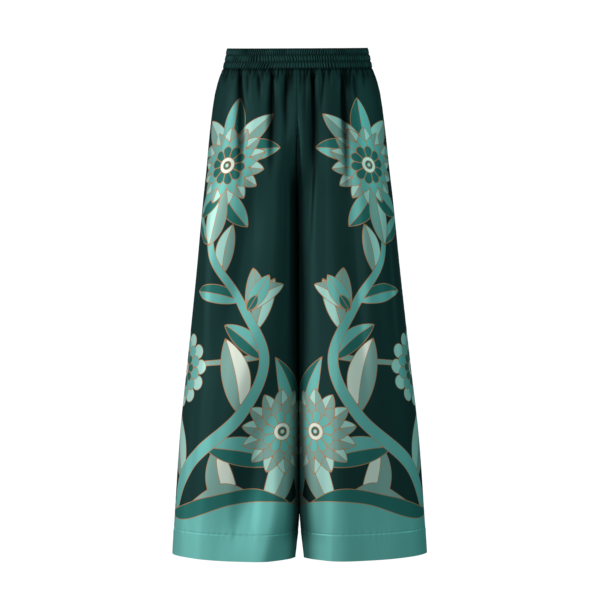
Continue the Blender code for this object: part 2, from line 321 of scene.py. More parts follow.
def setStudio():
    scene = bpy.context.scene
    camera = bpy.data.objects.new("camera", bpy.data.cameras.new("camera"))
    camera.data.lens = studio["lens"]
    camera.data.sensor_width = studio["sensor"]
    camera.location = studio["camera"]
    camera.rotation_euler = (math.pi / 2, studio["roll"], 0)
    bpy.context.collection.objects.link(camera)
    scene.camera = camera
    for name in ("key", "front", "fill", "back"):
        areaLight(name, **studio[name])
    scene.world = bpy.data.worlds.new("paleRoom")
    scene.world.use_nodes = True
    tree = scene.world.node_tree
    lit = tree.nodes["Background"]
    lit.inputs["Strength"].default_value = studio["skyLight"]
    lit.inputs["Color"].default_value = studio["skyTint"]
    seen = addNode(tree, "ShaderNodeBackground", {"Strength": studio["seenSky"], "Color": (1, 1, 1, 1)})
    direct = addNode(tree, "ShaderNodeLightPath").outputs["Is Camera Ray"]
    mix = addNode(tree, "ShaderNodeMixShader", {0: direct, 1: lit.outputs[0], 2: seen.outputs[0]})
    tree.links.new(mix.outputs[0], tree.nodes["World Output"].inputs["Surface"])
    scene.view_settings.view_transform = "Standard"


setStudio()
print("studio set")


# the print: u runs round the leg from the side seam, + to the front, and v runs down
# A and B are one colour, so that two shapes of it side by side keep their outline
slots = ["tealA", "tealB", "mintA", "mintB", "sageA", "sageB", "cream", "deepA", "deepB"]
pairs = {name: (name + "A", name + "B") for name in ("teal", "deep")}
printMargin = 0.012  # a shape's field is worked out this far beyond its edge
hillMargin = 0.02
leafBend = 0.12  # how far a leaf's midrib bows, as a share of the leaf's width
sprayTaper = 0.18  # how much shorter the outermost leaves of a spray are


def lay(cloth, slot, near, distance):
    # a shape covers what was laid before it; distance is below 0 inside the shape
    for name, field in cloth["fields"].items():
        if name == slot:
            field[near] = np.maximum(field[near], -distance)
        else:
            field[near] = np.minimum(field[near], distance)


def nearby(cloth, at, reach):
    return np.nonzero(np.hypot(cloth["u"] - at[0], cloth["v"] - at[1]) < reach + printMargin)


def seenFrom(cloth, near, at, angle):
    # along a direction and across it, from one place on the cloth
    du, dv = cloth["u"][near] - at[0], cloth["v"][near] - at[1]
    c, s = math.cos(angle), math.sin(angle)
    return du * c + dv * s, dv * c - du * s


def outFrom(at, angle, far):
    return at[0] + math.cos(angle) * far, at[1] + math.sin(angle) * far


def disc(cloth, slot, at, radius):
    near = nearby(cloth, at, radius)
    lay(cloth, slot, near, np.hypot(*seenFrom(cloth, near, at, 0)) - radius)


def lensDistance(p, q, length, width):
    h, w = length / 2, width / 2
    radius = (h * h + w * w) / (2 * w)
    return np.hypot(p, np.abs(q) + radius - w) - radius


def leaf(cloth, halves, base, angle, length, width, bend=0.0):
    # a pointed leaf in two colours, split along its bent midrib
    middle = outFrom(base, angle, length / 2)
    near = nearby(cloth, middle, length / 2)
    p, q = seenFrom(cloth, near, middle, angle)
    q = q - bend * (1 - (2 * p / length) ** 2)
    body = lensDistance(p, q, length, width)
    if halves[0] == halves[1]:
        lay(cloth, halves[0], near, body)
        return
    for slot, sign in zip(halves, (1, -1)):
        lay(cloth, slot, near, np.maximum(body, -sign * q))


def roundPetal(p, q, length, baseRadius, tipRadius):
    b = (baseRadius - tipRadius) / length
    a = math.sqrt(1 - b * b)
    q = np.abs(q)
    k = a * p - b * q
    out = np.where(k < 0, np.hypot(q, p) - baseRadius, a * q + b * p - baseRadius)
    return np.where(k > a * length, np.hypot(q, p - length) - tipRadius, out)


def petalRing(cloth, colours, at, reach, count, turn, width, start, pointed=True):
    # colours are one name for plain petals, or two for petals split along the middle
    length = reach * (1 - start)
    for i in range(count):
        angle = turn + 2 * math.pi * i / count
        base = outFrom(at, angle, reach * start)
        names = [colour + "AB"[i % 2] for colour in colours]
        if pointed:
            leaf(cloth, (names[0], names[-1]), base, angle, length, width)
            continue
        near = nearby(cloth, outFrom(base, angle, length / 2), length / 2)
        p, q = seenFrom(cloth, near, base, angle)
        lay(cloth, names[0], near, roundPetal(p, q, length - width / 2, 0.06 * width, width / 2))


def smoothPath(points, step=0.004):
    points = np.array(points, float)
    ends = np.vstack([2 * points[0] - points[1], points, 2 * points[-1] - points[-2]])
    path = []
    for i in range(1, len(ends) - 2):
        a, b, c, d = ends[i - 1 : i + 3]
        t = np.linspace(0, 1, max(2, int(np.hypot(*(c - b)[:2]) / step)), endpoint=False)[:, None]
        bend = (2 * a - 5 * b + 4 * c - d) * t**2 + (3 * b - a - 3 * c + d) * t**3
        path.append(0.5 * (2 * b + (c - a) * t + bend))
    return np.vstack(path + [points[-1:]])


def stem(cloth, slot, points):
    # points are u, v and half the stem's width
    path = smoothPath(points)
    low, high = path.min(0), path.max(0)
    reach = high[2] + printMargin
    near = np.nonzero(
        (cloth["u"] > low[0] - reach) & (cloth["u"] < high[0] + reach)
        & (cloth["v"] > low[1] - reach) & (cloth["v"] < high[1] + reach)
    )
    u, v = cloth["u"][near], cloth["v"][near]
    best = np.full(u.shape, 1.0)
    for a, b in zip(path[:-1], path[1:]):
        d = b - a
        t = np.clip(((u - a[0]) * d[0] + (v - a[1]) * d[1]) / (d[0] ** 2 + d[1] ** 2), 0, 1)
        best = np.minimum(best, np.hypot(u - a[0] - t * d[0], v - a[1] - t * d[1]) - a[2] - d[2] * t)
    lay(cloth, slot, near, best)


def hill(cloth, slot, crest):
    path = smoothPath(crest)
    near = np.nonzero(cloth["v"] > path[:, 1].min() - hillMargin)
    u, v = cloth["u"][near], cloth["v"][near]
    slope = np.interp(u, path[:, 0], np.gradient(path[:, 1], path[:, 0]))
    lay(cloth, slot, near, (np.interp(u, path[:, 0], path[:, 1]) - v) / np.sqrt(1 + slope**2))


def leavesAlong(cloth, vine, shares, size, spread, colours, taper):
    path = smoothPath(vine)
    for i, share in enumerate(shares):
        k = int(share * (len(path) - 2))
        step = path[k + 1] - path[k]
        sign = 1 if i % 2 else -1
        scale = 1 - taper * share
        way = math.atan2(step[1], step[0]) + sign * deg(spread)
        halves = colours[i % len(colours)]
        bend = -leafBend * sign * size[1]
        leaf(cloth, halves, path[k, :2], way, size[0] * scale, size[1] * scale, bend)


def leafSpray(cloth, at, angle, count, fan, size, colours):
    for i in range(count):
        share = 2 * i / (count - 1) - 1
        length = size[0] * (1 - sprayTaper * abs(share))
        halves = colours[i % len(colours)]
        bend = -leafBend * share * size[1]
        leaf(cloth, halves, at, angle + share * deg(fan), length, size[1], bend)


# sizes are shares of the flower's radius: how far its petals reach, their width and where they start
flower = {
    "pointedPetals": 14, "roundPetals": 12, "innerPetals": 10,
    "rings": [(1.0, 0.38, 0.2), (0.76, 0.30, 0.16), (0.49, 0.224, 0.1)],
    "heart": [("cream", 0.20), ("deepA", 0.11), ("mintA", 0.05)],
}


def bloom(cloth, at, radius, turn, outer, middle, inner, pointed=True):
    count = flower["pointedPetals" if pointed else "roundPetals"]
    rings = [
        (outer, count, turn, pointed), (middle, count, turn + math.pi / count, pointed),
        (inner, flower["innerPetals"], turn, False),
    ]
    for (colours, petals, angle, sharp), (reach, width, start) in zip(rings, flower["rings"]):
        petalRing(cloth, colours, at, reach * radius, petals, angle, width * radius, start, sharp)
    for slot, size in flower["heart"]:
        disc(cloth, slot, at, size * radius)


def bud(cloth, at, angle, size):
    for sign, slot in ((-1, "sageA"), (1, "mintA")):
        leaf(cloth, (slot, "sageB"), at, angle + sign * deg(24), size, 0.42 * size, -0.10 * sign * size)
    leaf(cloth, pairs["teal"], at, angle, 0.94 * size, 0.40 * size)
    leaf(cloth, pairs["deep"], at, angle, 0.42 * size, 0.22 * size)


design = {
    "leafColours": [("sageA", "mintA"), ("tealA", "deepA"), ("mintB", "sageB"), ("deepB", "tealB")],
    "baseColours": [("mintA", "sageA"), ("deepB", "tealA"), ("cream", "sageB")],
    "frontVine": [
        (0.015, 0.945, 0.0150), (0.070, 0.820, 0.0140), (0.180, 0.715, 0.0120), (0.222, 0.600, 0.0100),
        (0.165, 0.485, 0.0085), (0.100, 0.390, 0.0070), (0.095, 0.290, 0.0055), (0.120, 0.215, 0.0045),
    ],
    "sideBranch": [
        (0.222, 0.590, 0.0065), (0.165, 0.600, 0.0055), (0.100, 0.606, 0.0048), (0.030, 0.610, 0.0042),
    ],
    "backVine": [
        (-0.300, 0.945, 0.0150), (-0.255, 0.820, 0.0135), (-0.130, 0.740, 0.0120), (-0.085, 0.630, 0.0100),
        (-0.140, 0.520, 0.0085), (-0.185, 0.410, 0.0070), (-0.160, 0.310, 0.0055), (-0.130, 0.240, 0.0045),
    ],
    # colours, base, direction in degrees, length, width, bend
    "blades": [
        (("deepA", "tealA"), (0.335, 0.910), -106, 0.330, 0.080, 0.036),
        (("sageA", "mintA"), (0.235, 0.920), -74, 0.240, 0.064, 0.020),
        (("cream", "sageB"), (0.190, 0.925), -108, 0.165, 0.058, -0.014),
        (("tealB", "deepB"), (-0.020, 0.930), -100, 0.270, 0.078, -0.030),
        (("mintB", "sageB"), (-0.110, 0.930), -82, 0.240, 0.066, 0.022),
        (("tealB", "deepB"), (-0.200, 0.930), -98, 0.200, 0.064, -0.020),
    ],
    "hills": [
        ("sageB", [(-0.42, 0.905), (-0.30, 0.862), (-0.18, 0.900), (-0.06, 0.855), (0.05, 0.905),
                   (0.16, 0.850), (0.27, 0.900), (0.36, 0.860), (0.42, 0.870)]),
        ("deepB", [(-0.42, 0.880), (-0.27, 0.905), (-0.14, 0.870), (0.0, 0.912), (0.12, 0.880),
                   (0.23, 0.862), (0.33, 0.905), (0.42, 0.900)]),
        ("tealA", [(-0.42, 0.915), (-0.28, 0.925), (-0.17, 0.888), (-0.05, 0.905), (0.06, 0.930),
                   (0.18, 0.893), (0.29, 0.890), (0.42, 0.925)]),
    ],
}


def drawPrint(cloth):
    leafColours, baseColours = design["leafColours"], design["baseColours"]
    turnedColours = leafColours[1:] + leafColours[:1]
    for halves, base, angle, length, width, bend in design["blades"]:
        leaf(cloth, halves, base, deg(angle), length, width, bend)
    front, back = design["frontVine"], design["backVine"]
    stem(cloth, "sageA", design["sideBranch"])
    leavesAlong(cloth, front, [0.50, 0.58, 0.66, 0.74, 0.82], (0.140, 0.048), 46, turnedColours, 0.35)
    leavesAlong(cloth, front, [0.13, 0.24, 0.36], (0.175, 0.062), 50, baseColours, 0.2)
    backShares = [0.48, 0.56, 0.64, 0.72, 0.80, 0.88]
    leavesAlong(cloth, back, backShares, (0.135, 0.046), 46, leafColours[::-1], 0.30)
    leavesAlong(cloth, back, [0.12, 0.23, 0.34], (0.170, 0.060), 50, baseColours[::-1], 0.2)
    stem(cloth, "tealB", front)
    stem(cloth, "tealB", back)
    leafSpray(cloth, (0.112, 0.250), deg(100), 3, 46, (0.120, 0.044), leafColours[::-1])
    leafSpray(cloth, (0.116, 0.190), deg(-95), 5, 84, (0.128, 0.046), turnedColours)
    leafSpray(cloth, (-0.130, 0.205), deg(-90), 5, 80, (0.110, 0.042), leafColours)
    bloom(cloth, (0.116, 0.205), 0.080, deg(6), ["sage", "mint"], ["teal"], ["deep"])
    bloom(cloth, (0.275, 0.745), 0.088, deg(7), ["mint", "sage"], ["sage"], ["teal"])
    bloom(cloth, (0.022, 0.618), 0.078, deg(-4), ["mint"], ["teal"], ["deep"], pointed=False)
    bloom(cloth, (-0.130, 0.225), 0.070, deg(3), ["teal", "mint"], ["mint"], ["deep"])
    bloom(cloth, (-0.225, 0.690), 0.084, deg(9), ["sage", "mint"], ["mint"], ["teal"])
    bud(cloth, (0.180, 0.500), deg(-62), 0.088)
    bud(cloth, (-0.120, 0.545), deg(-118), 0.080)
    for slot, crest in design["hills"]:
        hill(cloth, slot, crest)


def linear(*colour):
    # a colour as seen on a screen, 0 to 255, as the shader wants it
    c = np.array(colour) / 255
    return (*np.where(c <= 0.04045, c / 12.92, ((c + 0.055) / 1.055) ** 2.4), 1.0)


satin = {
    "ground": linear(28, 54, 52), "teal": linear(107, 174, 167), "mint": linear(166, 206, 196),
    "sage": linear(128, 162, 153), "cream": linear(222, 222, 208), "deep": linear(44, 104, 98),
    "line": linear(176, 128, 92), "bandGround": linear(31, 59, 57), "wrongSide": linear(96, 120, 114),
    "lineHalf": 0.0007, "edgeHalf": 0.0004,
    "printed": {"roughness": 0.50, "metallic": 0.29, "cloudiness": 0.07},
    "plain": {"roughness": 0.48, "metallic": 0.30, "cloudiness": 0.10},
    "wrong": {"roughness": 0.60, "metallic": 0.0, "cloudiness": 0.07, "faded": 0.22},
    "specular": 0.04, "edgeTint": (0.28, 0.50, 0.46, 1.0),
    "weave": (2600, 420, 1), "weaveBump": 0.10, "weaveHeight": 0.0002, "cloudScale": 9.0,
}


def mixColours(tree, share, first, second):
    mix = {"Factor": share, "A": first, "B": second}
    return liveOutput(addNode(tree, "ShaderNodeMix", mix, data_type="RGBA"))


def rampOver(tree, value, low, high):
    ramp = {"Value": value, "From Min": low, "From Max": high}
    return addNode(tree, "ShaderNodeMapRange", ramp, interpolation_type="SMOOTHSTEP").outputs["Result"]


def fieldSockets(tree):
    found = []
    for k in range(3):
        attribute = addNode(tree, "ShaderNodeAttribute", attribute_name=f"print{k}")
        found += list(addNode(tree, "ShaderNodeSeparateXYZ", {0: attribute.outputs["Vector"]}).outputs)
    return found


def finishSatin(tree, shader, colour, finish):
    # fine floats that run down the cloth, slight clouds of dye, and painted shade deep in the folds, between
    # the legs and in the band's puckers
    place = addNode(tree, "ShaderNodeAttribute", attribute_name="clothPlace").outputs["Vector"]
    along = addNode(tree, "ShaderNodeMapping", {"Vector": place, "Scale": satin["weave"]}).outputs["Vector"]
    floats = {"Vector": along, "Scale": 1.0, "Detail": 2.0}
    weave = addNode(tree, "ShaderNodeTexNoise", floats).outputs["Fac"]
    relief = {"Height": weave, "Strength": satin["weaveBump"], "Distance": satin["weaveHeight"]}
    normal = addNode(tree, "ShaderNodeBump", relief).outputs["Normal"]
    tree.links.new(normal, shader.inputs["Normal"])
    dye = {"Vector": place, "Scale": satin["cloudScale"], "Detail": 3.0}
    clouds = addNode(tree, "ShaderNodeTexNoise", dye).outputs["Fac"]
    spread = {"Value": clouds, "To Min": 1 - finish["cloudiness"], "To Max": 1 + finish["cloudiness"]}
    cloudy = addNode(tree, "ShaderNodeMapRange", spread).outputs["Result"]
    openness = addNode(tree, "ShaderNodeAttribute", attribute_name="openness").outputs["Fac"]
    shade = maths(tree, "MULTIPLY", cloudy, openness)
    tinted = addNode(tree, "ShaderNodeHueSaturation", {"Color": colour, "Value": shade}).outputs["Color"]
    if "faded" in finish:  # the print strikes through paler and duller
        tinted = mixColours(tree, finish["faded"], tinted, satin["wrongSide"])
    tree.links.new(tinted, shader.inputs["Base Color"])
    setSurface(shader, finish["roughness"], finish["metallic"])


def newMaterial(name):
    material = bpy.data.materials.new(name)
    material.use_nodes = True
    return material, material.node_tree, material.node_tree.nodes["Principled BSDF"]


def setSurface(shader, roughness, metallic):
    shader.inputs["Roughness"].default_value = roughness
    shader.inputs["Metallic"].default_value = metallic
    shader.inputs["Specular IOR Level"].default_value = satin["specular"]
    shader.inputs["Specular Tint"].default_value = satin["edgeTint"]


def printedSatin(name, wrongSide=False):
    material, tree, shader = newMaterial(name)
    colour = satin["ground"]
    nearest = 1.0
    for slot, field in zip(slots, fieldSockets(tree)):
        inside = rampOver(tree, field, -satin["edgeHalf"], satin["edgeHalf"])
        colour = mixColours(tree, inside, colour, satin[slot.rstrip("AB")])
        nearest = maths(tree, "MINIMUM", nearest, maths(tree, "ABSOLUTE", field))
    beside = rampOver(tree, nearest, 0.5 * satin["lineHalf"], 1.5 * satin["lineHalf"])
    colour = mixColours(tree, beside, satin["line"], colour)
    finishSatin(tree, shader, colour, satin["wrong" if wrongSide else "printed"])
    return material


def plainSatin(name, colour):
    material, tree, shader = newMaterial(name)
    finishSatin(tree, shader, colour, satin["plain"])
    return material


def outwardNormals(grid):
    normals = np.cross(np.gradient(grid, axis=0), np.gradient(grid, axis=1))
    return normals / np.linalg.norm(normals, axis=2)[..., None]


def chordRise(grid, normals):
    # how far a coarser skin, of every second row and column, would stand out of the hollows
    rise = np.zeros(grid.shape[:2])
    for axis in (0, 1):
        middle = (np.roll(grid, 1, axis) + np.roll(grid, -1, axis)) / 2 - grid
        along = np.einsum("ijk,ijk->ij", middle, normals)
        ends = [slice(None), slice(None)]
        ends[axis] = slice(1, -1)
        rise[tuple(ends)] = np.maximum(rise, along)[tuple(ends)]
    for axis in (0, 1):
        spread = np.pad(rise, [(1, 1) if k == axis else (0, 0) for k in (0, 1)], mode="edge")
        size = rise.shape[axis]
        rise = np.max([np.take(spread, np.arange(size) + k, axis=axis) for k in (0, 1, 2)], axis=0)
    return rise


def gridIndex(rows, columns, first):
    return first + np.arange(rows * columns).reshape(rows, columns)


def gridQuads(index):
    a, b, c, d = index[:-1, :-1], index[:-1, 1:], index[1:, 1:], index[1:, :-1]
    return np.stack([a, b, c, d], axis=-1).reshape(-1, 4)


sharpAngle = deg(50)  # an edge between faces that turn by more than this is shaded as sharp


def closed(rows, axis):
    # the first row or column comes again at the end
    return np.concatenate([rows, np.take(rows, [0], axis=axis)], axis=axis)


def makeMesh(name, points, faceSets, materials):
    # faceSets are (corner indices, material index), one set for each face size
    mesh = bpy.data.meshes.new(name)
    mesh.vertices.add(len(points))
    mesh.vertices.foreach_set("co", np.asarray(points, np.float32).ravel())
    sizes = np.concatenate([np.full(len(f), f.shape[1]) for f, _ in faceSets])
    corners = np.concatenate([f.ravel() for f, _ in faceSets])
    mesh.loops.add(len(corners))
    mesh.loops.foreach_set("vertex_index", corners.astype(np.int32))
    mesh.polygons.add(len(sizes))
    mesh.polygons.foreach_set("loop_start", (np.cumsum(sizes) - sizes).astype(np.int32))
    coats = np.concatenate([np.full(len(f), m) for f, m in faceSets])
    mesh.polygons.foreach_set("material_index", coats.astype(np.int32))
    mesh.update(calc_edges=True)
    mesh.validate()
    for material in materials:
        mesh.materials.append(material)
    mesh.shade_smooth()
    mesh.set_sharp_from_angle(angle=sharpAngle)
    return mesh


def addPiece(name, mesh):
    piece = bpy.data.objects.new(name, mesh)
    bpy.context.collection.objects.link(piece)
    return piece


def addVectors(mesh, name, values):
    attribute = mesh.attributes.new(name, "FLOAT_VECTOR", "POINT")
    attribute.data.foreach_set("vector", values.astype(np.float32).ravel())


def addPlace(mesh, cloth):
    # where a point lies on the cloth, and the painted shade that darkens its colour in folds and hollows
    addVectors(mesh, "clothPlace", np.column_stack([cloth[:, :2], np.zeros(len(cloth))]))
    openness = mesh.attributes.new("openness", "FLOAT", "POINT")
    openness.data.foreach_set("value", cloth[:, 2].astype(np.float32))


def addLayout(mesh, places):
    # a flat layout of the piece, one place for each vertex
    layer = mesh.uv_layers.new(name="OFBake")
    corner = np.empty(len(mesh.loops), np.int32)
    mesh.loops.foreach_get("vertex_index", corner)
    layer.data.foreach_set("uv", places[corner].astype(np.float32).ravel())


panels = {
    "columns": 142, "edgeShares": [0.0, 0.0018, 0.0042, 0.0075], "firstShare": 0.012,
    "torsoRows": 58, "riseRows": 80, "legRows": 282, "lineRows": 16, "hemRows": 20,
    "thickness": 0.0006, "riseSetBack": 1.5, "pitSetBack": 0.12,
    "outerPlace": (0.005, 0.63), "innerPlace": (0.655, 0.34),  # start and width in the flat layout
    "seamDip": 0.0007, "seamWidth": 0.0020,
    "seamPucker": 0.00025, "puckerPitch": 0.019, "puckerReach": 0.006, "puckerFrom": 0.0015,
    "underBand": 0.0030, "waistTuck": 0.0022, "waistTuckWidth": 0.0026,
    # painted shade: how dark fold troughs, tucks and the line under the band are drawn in the colour
    "foldShade": 1.6, "tuckShade": 1.5, "seamShade": 0.0048, "seamShadeWidth": 0.0036, "halfShade": 0.0036,
    "valleyDip": 0.0070, "valleyWidth": 0.0031,
    "valleyTop": -0.100, "valleyFull": -0.215, "valleyEnds": 0.05,
    "hemLine": 0.0542, "lineReach": 0.0060, "hemDip": 0.00030, "lineWidth": 0.0014,
    "hemLedge": 0.00055, "ledgeFrom": 0.0004, "ledgeOver": 0.0018,
    "linePull": 0.00044, "linePullPitch": 0.0160, "linePullReach": 0.006, "hemSpare": 0.0015,
}
hemLineAt = cut["bandSeam"] - cut["hem"] - panels["hemLine"]  # how far down the cloth the line is sewn

waves = {
    "count": 9, "depth": 0.0007, "seed": 4, "starts": 0.10, "seamHold": 0.02,
    "pitch": (0.028, 0.110), "lean": 0.05, "swell": (0.5, 1.3), "fullPitch": 0.07,
}

# the painted shade between the legs: it grows from a height, widens lower down and opens again at the hem
between = {
    "shade": 0.94, "reach": 0.046, "top": 0.42, "fade": 0.40,
    "widens": 0.5, "widensFrom": 0.74, "widensOver": 0.16,
    "opens": 0.85, "opensFrom": 0.945, "opensOver": 0.045,
}

tucks = {
    "count": 40, "seed": 11, "stray": 0.42, "start": 0.0016, "spread": 0.9, "widening": 1.2,
    "longShare": 0.30, "seamHold": 0.006, "sideHold": 0.004,
    "long": {"length": (0.040, 0.080), "width": (0.0022, 0.0036), "depth": (0.0018, 0.0030), "drift": 0.12},
    "short": {"length": (0.014, 0.036), "width": (0.0015, 0.0024), "depth": (0.0014, 0.0028), "drift": 0.34},
}


def columnShares():
    start = panels["edgeShares"]
    middle = np.linspace(panels["firstShare"], 1 - panels["firstShare"], panels["columns"] + 1)
    return np.concatenate([start, middle, 1 - np.array(start)[::-1]])


def panelHeights():
    torso = np.linspace(cut["bandSeam"] - cut["seamGap"], cut["riseStart"], panels["torsoRows"] + 1)
    turn = np.linspace(0, math.pi / 2, panels["riseRows"] + 1)[1:]
    rise = cut["riseStart"] - (cut["riseStart"] - cut["crotch"]) * np.sin(turn)
    line = cut["hem"] + panels["hemLine"]
    above, below = line + panels["lineReach"], line - panels["lineReach"]
    leg = np.linspace(cut["crotch"], above, panels["legRows"] + 1)[1:]
    nearLine = np.linspace(above, below, panels["lineRows"] + 1)[1:]
    hem = np.linspace(below, cut["hem"], panels["hemRows"] + 1)[1:]
    return np.concatenate([torso, rise, leg, nearLine, hem])


shares = columnShares()
heights = panelHeights()
halves = [slice(0, len(shares)), slice(len(shares) - 1, 2 * len(shares) - 1)]  # front and back columns


def gatherOffset(arc, down, seed):
    # uneven tucks that hang from the waist seam and run out below it
    rng = np.random.default_rng(seed)
    offset = np.zeros(arc.shape)
    for i in range(tucks["count"]):
        at = (i + 0.5 + rng.uniform(-tucks["stray"], tucks["stray"])) / tucks["count"] * arc[0].max()
        size = tucks["long" if rng.random() < tucks["longShare"] else "short"]
        length, width, depth = (rng.uniform(*size[name]) for name in ("length", "width", "depth"))
        drift = rng.uniform(-size["drift"], size["drift"])
        strength = smoothStep(down / tucks["start"]) * (1 - smoothStep(down / length))
        fromTuck = arc - at * (1 + tucks["spread"] * down) - drift * down
        offset -= depth * strength * trough(fromTuck / (width * (1 + tucks["widening"] * down / length)))
    return offset


def undulation(u, v, seed):
    # broad soft waves, all over the cloth
    rng = np.random.default_rng(seed)
    offset = np.zeros(u.shape)
    for _ in range(waves["count"]):
        pitch = rng.uniform(*waves["pitch"])
        lean = rng.uniform(-waves["lean"], waves["lean"])
        wave = np.cos(2 * math.pi * (u + lean * v) / pitch + rng.uniform(0, 2 * math.pi))
        swell = np.cos(2 * math.pi * v / rng.uniform(*waves["swell"]) + rng.uniform(0, 2 * math.pi))
        offset += wave * (0.5 + 0.5 * swell) * pitch / waves["fullPitch"]
    return offset * waves["depth"] / math.sqrt(waves["count"] / 2)


def seamOffset(gap, v):
    # the cloth dips into a seam and puckers slightly beside it
    dip = -panels["seamDip"] * np.exp(-((gap / panels["seamWidth"]) ** 2))
    phase = 2 * math.pi * (v / panels["puckerPitch"] + 0.6 * np.sin(v * 41))
    beside = np.exp(-gap / panels["puckerReach"]) * smoothStep(gap / panels["puckerFrom"])
    return dip + panels["seamPucker"] * np.sin(phase) * beside


def valleyDepth(z):
    # the centre seams sink between the thighs before they turn in
    top, full, crotch = panels["valleyTop"], panels["valleyFull"], cut["crotch"]
    ends = smoothStep((z - crotch) / panels["valleyEnds"])
    return panels["valleyDip"] * smoothStep((top - z) / (top - full)) * ends


def hemOffset(u, v):
    # a stitched line above the hem, the doubled cloth below it and the uneven pull of the stitches
    fromLine = v - hemLineAt
    line = -panels["hemDip"] * np.exp(-((fromLine / panels["lineWidth"]) ** 2))
    doubled = panels["hemLedge"] * smoothStep((fromLine - panels["ledgeFrom"]) / panels["ledgeOver"])
    phase = u / panels["linePullPitch"] + 0.55 * np.sin(u * 37) + 0.3 * np.sin(u * 83 + 1.0)
    pull = np.sin(2 * math.pi * phase) * (0.35 + 0.65 * np.sin(u * 23 + 0.8) ** 2)
    return line + doubled + panels["linePull"] * pull * np.exp(-np.abs(fromLine) / panels["linePullReach"])


def halfGarment(side):
    # one leg with its half of the waist and hips, from the front inner edge round to the back one
    rows, around, pits = [], [], []
    for z in heights:
        front, frontAway, frontPit = panelRing(side, "front", z, shares)
        back, backAway, backPit = panelRing(side, "back", z, shares)
        seam = (front[-1] + back[-1]) / 2
        rows.append(np.vstack([front[:-1], seam, back[-2::-1]]))
        around.append(np.concatenate([frontAway, -backAway[-2::-1]]))
        pits.append(np.concatenate([frontPit, backPit[-2::-1]]))
    grid = settle(np.array(rows))
    grid[0, :, 2] += panels["underBand"]
    return grid, np.array(around), np.array(pits)


def makePrint(u, v):
    cloth = {"u": u, "v": v, "fields": {slot: np.full(u.shape, -1.0) for slot in slots}}
    drawPrint(cloth)
    return np.stack([cloth["fields"][slot] for slot in slots], axis=-1)


def shellFaces(rows, columns, first):
    # the inner skin has every second row and column of the outer one; five-sided rims join them
    outer = gridIndex(rows, columns, 0)
    inner = gridIndex(len(range(0, rows, 2)), len(range(0, columns, 2)), first)
    rims = []
    edges = [
        (outer[0], inner[0], False), (outer[-1], inner[-1], True),
        (outer[:, 0], inner[:, 0], True), (outer[:, -1], inner[:, -1], False),
    ]
    for out, back, flip in edges:
        rim = np.stack([out[:-2:2], out[1:-1:2], out[2::2], back[1:], back[:-1]], axis=-1)
        rims.append(rim if flip else rim[:, ::-1])
    return gridQuads(outer)[:, ::-1], gridQuads(inner), np.concatenate(rims)


def addPanel(name, side, skins, fields, cloth):
    # skins are the outer and the inner one; the inner keeps every second row and column
    outer, inner = skins
    rows, columns = outer.shape[:2]
    points = np.vstack([outer.reshape(-1, 3), inner[::2, ::2].reshape(-1, 3)])
    outQuads, inQuads, rims = shellFaces(rows, columns, rows * columns)
    if side < 0:
        outQuads, inQuads, rims = outQuads[:, ::-1], inQuads[:, ::-1], rims[:, ::-1]
    mesh = makeMesh(name, points, [(outQuads, 0), (inQuads, 1), (rims, 0)], panelMaterials)

    def onBoth(values):
        width = values.shape[-1]
        return np.vstack([values.reshape(-1, width), values[::2, ::2].reshape(-1, width)])

    for k in range(3):
        addVectors(mesh, f"print{k}", onBoth(fields[..., 3 * k : 3 * k + 3]))
    addPlace(mesh, onBoth(cloth))
    across, down = np.meshgrid(np.linspace(0, 1, columns), np.linspace(0.995, 0.005, rows))
    places = []
    for (start, width), step in ((panels["outerPlace"], 1), (panels["innerPlace"], 2)):
        place = np.stack([start + width * across, down], axis=-1)
        places.append(place[::step, ::step].reshape(-1, 2))
    addLayout(mesh, np.vstack(places))
    return addPiece(name, mesh)


def mirrored(points, side):
    return points * np.array([side, 1, 1])


def reliefOf(side, u, v, fromInner, pits):
    # how far the small shapes move the cloth out; the tucks are added to the pits, which set the painted
    # shade in them
    frontGap, backGap = u[:, :1] - u, u - u[:, -1:]
    offset = undulation(u, v, waves["seed"] + side) * smoothStep(v / waves["starts"])
    offset *= smoothStep(np.minimum(frontGap, backGap) / waves["seamHold"])
    for seamGap in (np.abs(u), frontGap, backGap):
        offset += seamOffset(seamGap, v)
    offset += hemOffset(u, v)
    for k, columns in enumerate(halves):
        arc, down = fromInner[:, columns], v[:, columns]
        gathers = gatherOffset(arc, down, tucks["seed"] + 2 * k + (side < 0))
        gathers *= smoothStep(arc / tucks["seamHold"])
        gathers *= smoothStep(np.abs(u[:, columns]) / tucks["sideHold"])
        offset[:, columns] += gathers
        pits[:, columns] -= gathers * panels["tuckShade"]
    offset -= panels["waistTuck"] * np.exp(-((v / panels["waistTuckWidth"]) ** 2))
    return offset - valleyDepth(heights)[:, None] * np.exp(-((fromInner / panels["valleyWidth"]) ** 2))


# painted shade: the colour is darkened in fold troughs and tucks, under the band seam and between the legs
def shadeOf(v, fromInner, pits):
    shade = 1 / (1 + (np.maximum(pits, 0) / panels["halfShade"]) ** 2)
    wider = smoothStep((v - between["widensFrom"]) / between["widensOver"])
    reach = between["reach"] * (1 + between["widens"] * wider)
    dim = np.exp(-((fromInner / reach) ** 2)) * smoothStep((v - between["top"]) / between["fade"])
    dim *= 1 - between["opens"] * smoothStep((v - between["opensFrom"]) / between["opensOver"])
    return shade * (1 - between["shade"] * dim)


